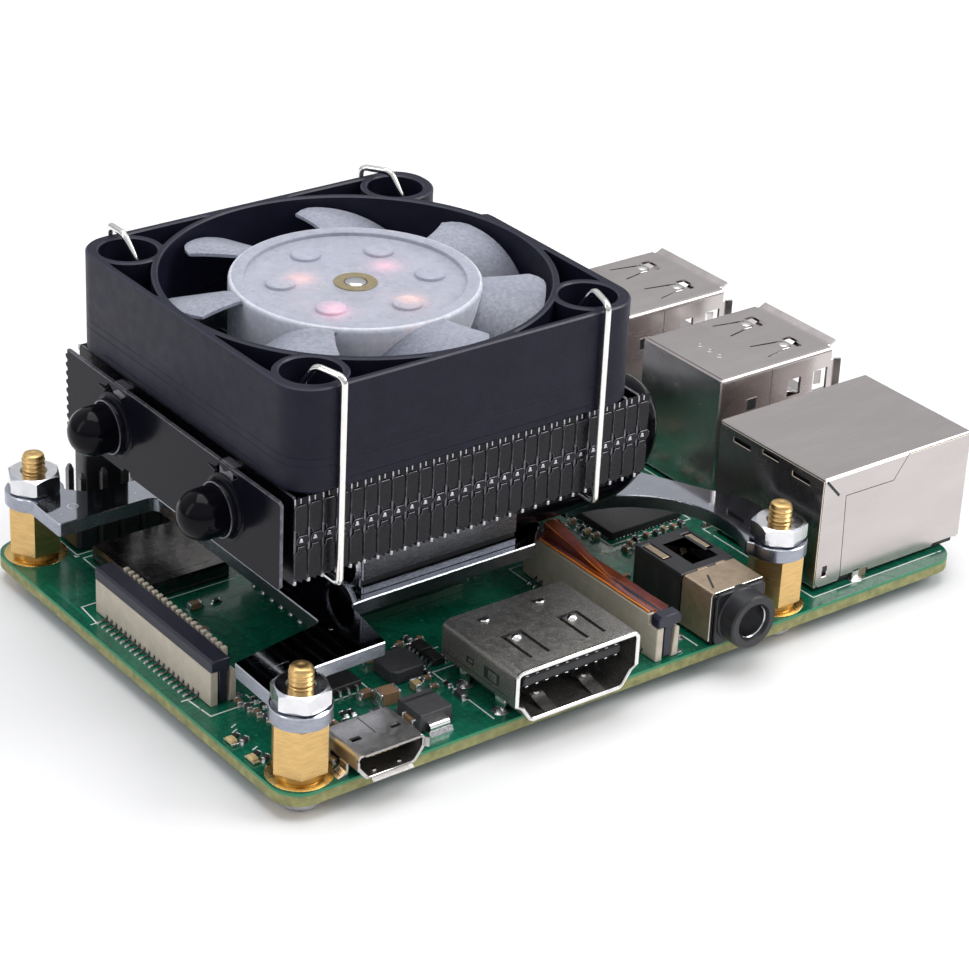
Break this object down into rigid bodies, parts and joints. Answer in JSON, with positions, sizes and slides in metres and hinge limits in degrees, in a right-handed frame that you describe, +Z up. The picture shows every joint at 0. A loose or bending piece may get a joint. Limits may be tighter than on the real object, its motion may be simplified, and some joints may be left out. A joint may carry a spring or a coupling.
{
  "type": "single board computer",
  "caption": "Green credit-card-size single board computer with a black finned heat-pipe cooler, a clipped-on fan with a frosted rotor, brass posts, edge sockets and a pin header.",
  "frame": {"origin": "centre of the outline on the plane of the feet, under the lowest screw heads", "axes": "+Z up out of the component side, +X toward the stacked sockets, +Y toward the pin header"},
  "size_m": [0.087, 0.0584, 0.0392],
  "materials": {
    "solder_mask": "green solder resist over glass-fibre board, satin gloss, yellow-green cut edge",
    "soc_substrate": "dark green package substrate",
    "nickel_lid": "nickel plated copper lid, fine brushed",
    "thermal_silicone": "soft grey-blue thermal silicone",
    "chip_epoxy": "black moulded epoxy",
    "shield_tin": "tinned steel can, dull",
    "header_plastic": "black header plastic; the pins are gold plated",
    "socket_shell": "nickel plated sheet steel, satin",
    "socket_core": "black moulded plastic with plated contacts",
    "video_shell_steel": "plated sheet steel, darker and grainy",
    "audio_plastic": "black moulded plastic",
    "audio_sheet": "tan plated contact sheet",
    "cable_socket_beige": "beige high temperature plastic",
    "latch_dark": "dark navy latch plastic",
    "amber_film": "thin amber polyimide film",
    "led_body": "small translucent lamp body",
    "ferrite": "grey-black ferrite",
    "brass_post": "turned brass with fine tool marks",
    "nut_nickel": "bright nickel plated steel",
    "screw_steel": "zinc plated steel",
    "bracket_black": "black nickel plated sheet, mirror gloss, bright milled edges",
    "block_black": "black nickel plated block",
    "pipe_black": "copper heat pipe plated in glossy black nickel",
    "fin_black": "thin stamped fins plated in black nickel",
    "fan_plastic": "charcoal blue-black moulded plastic with a fine grain",
    "rotor_frosted": "frosted translucent plastic",
    "magnet": "bonded magnet ring",
    "shaft_steel": "ground steel",
    "copper_coil": "varnished copper windings over a laminated core",
    "wire_steel": "bright spring steel wire",
    "plug_plastic": "black crimp housing",
    "lead_sleeve": "flexible black and red insulated wires in a sleeve"
  },
  "bodies": {
    "board": {"pcb": "solder_mask", "soc_package": "soc_substrate", "soc_lid": "nickel_lid", "thermal_pad": "thermal_silicone", "ram_chip": "chip_epoxy", "network_chip": "chip_epoxy", "power_chip": "chip_epoxy", "radio_shield": "shield_tin", "gpio_header": "header_plastic", "poe_header": "header_plastic", "usb_shell_a": "socket_shell", "usb_core_a": "socket_core", "usb_shell_b": "socket_shell", "usb_core_b": "socket_core", "lan_shell": "socket_shell", "lan_core": "socket_core", "video_shell": "video_shell_steel", "video_core": "socket_core", "power_port_shell": "socket_shell", "power_port_core": "socket_core", "audio_body": "audio_plastic", "audio_clip": "audio_sheet", "camera_base": "cable_socket_beige", "camera_film": "amber_film", "display_base": "cable_socket_beige", "card_shell": "socket_shell", "card_core": "socket_core", "led_power": "led_body", "led_activity": "led_body", "inductor": "ferrite", "diode": "chip_epoxy", "standoff_fl": "brass_post", "nut_fl": "nut_nickel", "screw_fl": "screw_steel", "standoff_fr": "brass_post", "nut_fr": "nut_nickel", "screw_fr": "screw_steel", "standoff_rl": "brass_post", "nut_rl": "nut_nickel", "screw_rl": "screw_steel", "standoff_rr": "brass_post", "nut_rr": "nut_nickel", "screw_rr": "screw_steel", "bracket": "bracket_black", "base_block": "block_black", "heat_pipe_front": "pipe_black", "heat_pipe_rear": "pipe_black", "fin_stack": "fin_black", "fin_end_plate": "fin_black", "fan_frame": "fan_plastic", "fan_stator": "copper_coil", "clip_left": "wire_steel", "clip_right": "wire_steel", "fan_plug": "plug_plastic", "fan_lead": "lead_sleeve"},
    "rotor": {"fan_rotor": "rotor_frosted", "rotor_magnet": "magnet", "rotor_shaft": "shaft_steel"},
    "camera_lock": {"camera_latch": "latch_dark"},
    "display_lock": {"display_latch": "latch_dark"}
  },
  "joints": [
    {"name": "fan_spin", "type": "hinge", "parent": "board", "child": "rotor", "pos_m": [-0.0167, 0.00285, 0.0316], "axis": [0, 0, 1], "continuous": true},
    {"name": "camera_latch_lift", "type": "slide", "parent": "board", "child": "camera_lock", "axis": [0, 0, 1], "range_m": [0, 0.001]},
    {"name": "display_latch_lift", "type": "slide", "parent": "board", "child": "display_lock", "axis": [0, 0, 1], "range_m": [0, 0.001]}
  ]
}
